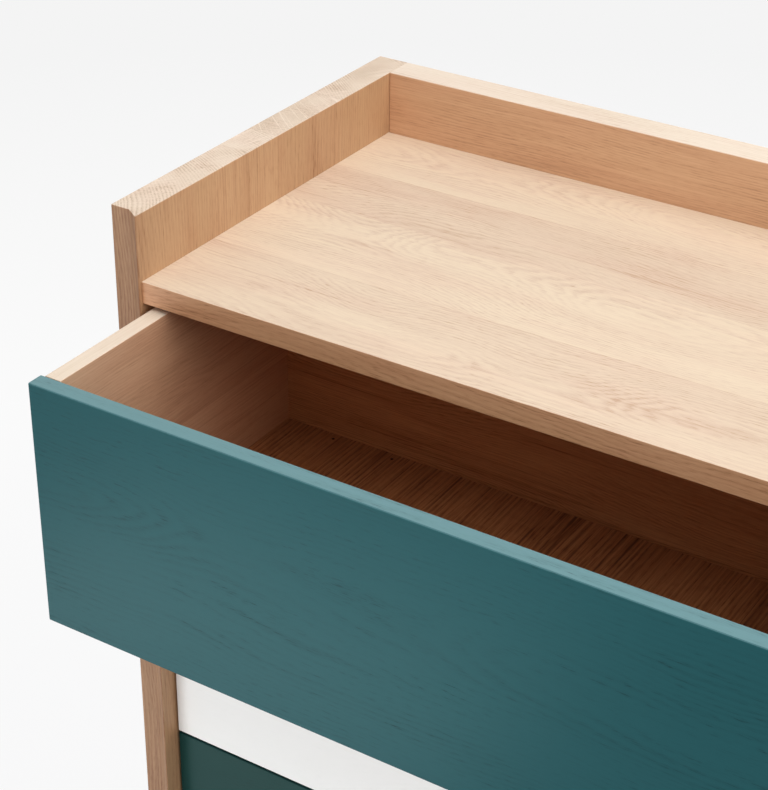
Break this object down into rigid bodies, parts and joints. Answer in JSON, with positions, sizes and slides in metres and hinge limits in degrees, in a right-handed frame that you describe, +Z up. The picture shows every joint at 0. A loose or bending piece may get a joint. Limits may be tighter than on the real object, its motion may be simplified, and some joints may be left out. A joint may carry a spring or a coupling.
{
  "type": "semainier",
  "caption": "Tall narrow oak chest with handleless painted drawers on undermount slides, full-height sides with a slanted front lip, and a tray top inside a raised edge.",
  "frame": {"origin": "on the floor, under the centre of the outline as it stands at rest, with the top drawer drawn out by 154 mm", "axes": "+Z up, +Y towards the back, +X to the right as seen from the front; the drawers open along -Y"},
  "size_m": [0.7, 0.536, 1.68],
  "materials": {
    "oak_side": "clear matt oil on solid oak, grain upright",
    "oak_top": "clear matt oil on solid oak, grain across the width",
    "oak_panel": "clear matt oil on oak-faced plywood",
    "oak_hidden": "clear matt oil on oak",
    "oak_drawer": "clear matt oil on solid oak",
    "oak_floor": "clear matt lacquer on oak veneer, grain front to back",
    "beech": "bare beech",
    "paint_teal": "satin paint on oak, grain just showing",
    "paint_white": "satin paint on oak, grain just showing",
    "paint_dark_green": "satin paint on oak, grain just showing",
    "slide_steel": "zinc-plated sheet steel",
    "zinc_steel": "zinc-plated steel",
    "nylon": "moulded nylon"
  },
  "bodies": {
    "cabinet": {"side_left": "oak_side", "side_right": "oak_side", "top_board": "oak_top", "back_rail": "oak_top", "back_panel": "oak_panel", "crossrail": "oak_hidden", "bottom_board": "oak_top", "plinth": "oak_hidden", "dowels": "beech", "slide_screws": "zinc_steel", "glides": "nylon", "cabinet_rails_1": "slide_steel", "cabinet_rails_2": "slide_steel", "cabinet_rails_3": "slide_steel", "cabinet_rails_4": "slide_steel", "cabinet_rails_5": "slide_steel", "cabinet_rails_6": "slide_steel", "cabinet_rails_7": "slide_steel"},
    "drawer_1": {"front_1": "paint_teal", "box_left_1": "oak_drawer", "box_right_1": "oak_drawer", "box_back_1": "oak_drawer", "box_floor_1": "oak_floor", "runners_1": "slide_steel"},
    "drawer_2": {"front_2": "paint_white", "box_left_2": "oak_drawer", "box_right_2": "oak_drawer", "box_back_2": "oak_drawer", "box_floor_2": "oak_floor", "runners_2": "slide_steel"},
    "drawer_3": {"front_3": "paint_dark_green", "box_left_3": "oak_drawer", "box_right_3": "oak_drawer", "box_back_3": "oak_drawer", "box_floor_3": "oak_floor", "runners_3": "slide_steel"},
    "drawer_4": {"front_4": "paint_teal", "box_left_4": "oak_drawer", "box_right_4": "oak_drawer", "box_back_4": "oak_drawer", "box_floor_4": "oak_floor", "runners_4": "slide_steel"},
    "drawer_5": {"front_5": "paint_white", "box_left_5": "oak_drawer", "box_right_5": "oak_drawer", "box_back_5": "oak_drawer", "box_floor_5": "oak_floor", "runners_5": "slide_steel"},
    "drawer_6": {"front_6": "paint_dark_green", "box_left_6": "oak_drawer", "box_right_6": "oak_drawer", "box_back_6": "oak_drawer", "box_floor_6": "oak_floor", "runners_6": "slide_steel"},
    "drawer_7": {"front_7": "paint_teal", "box_left_7": "oak_drawer", "box_right_7": "oak_drawer", "box_back_7": "oak_drawer", "box_floor_7": "oak_floor", "runners_7": "slide_steel"}
  },
  "joints": [
    {"name": "drawer_1_slide", "type": "slide", "parent": "cabinet", "child": "drawer_1", "axis": [0, -1, 0], "range_m": [-0.157, 0.071]},
    {"name": "drawer_2_slide", "type": "slide", "parent": "cabinet", "child": "drawer_2", "axis": [0, -1, 0], "range_m": [-0.003, 0.225]},
    {"name": "drawer_3_slide", "type": "slide", "parent": "cabinet", "child": "drawer_3", "axis": [0, -1, 0], "range_m": [-0.003, 0.225]},
    {"name": "drawer_4_slide", "type": "slide", "parent": "cabinet", "child": "drawer_4", "axis": [0, -1, 0], "range_m": [-0.003, 0.225]},
    {"name": "drawer_5_slide", "type": "slide", "parent": "cabinet", "child": "drawer_5", "axis": [0, -1, 0], "range_m": [-0.003, 0.225]},
    {"name": "drawer_6_slide", "type": "slide", "parent": "cabinet", "child": "drawer_6", "axis": [0, -1, 0], "range_m": [-0.003, 0.225]},
    {"name": "drawer_7_slide", "type": "slide", "parent": "cabinet", "child": "drawer_7", "axis": [0, -1, 0], "range_m": [-0.003, 0.225]}
  ]
}
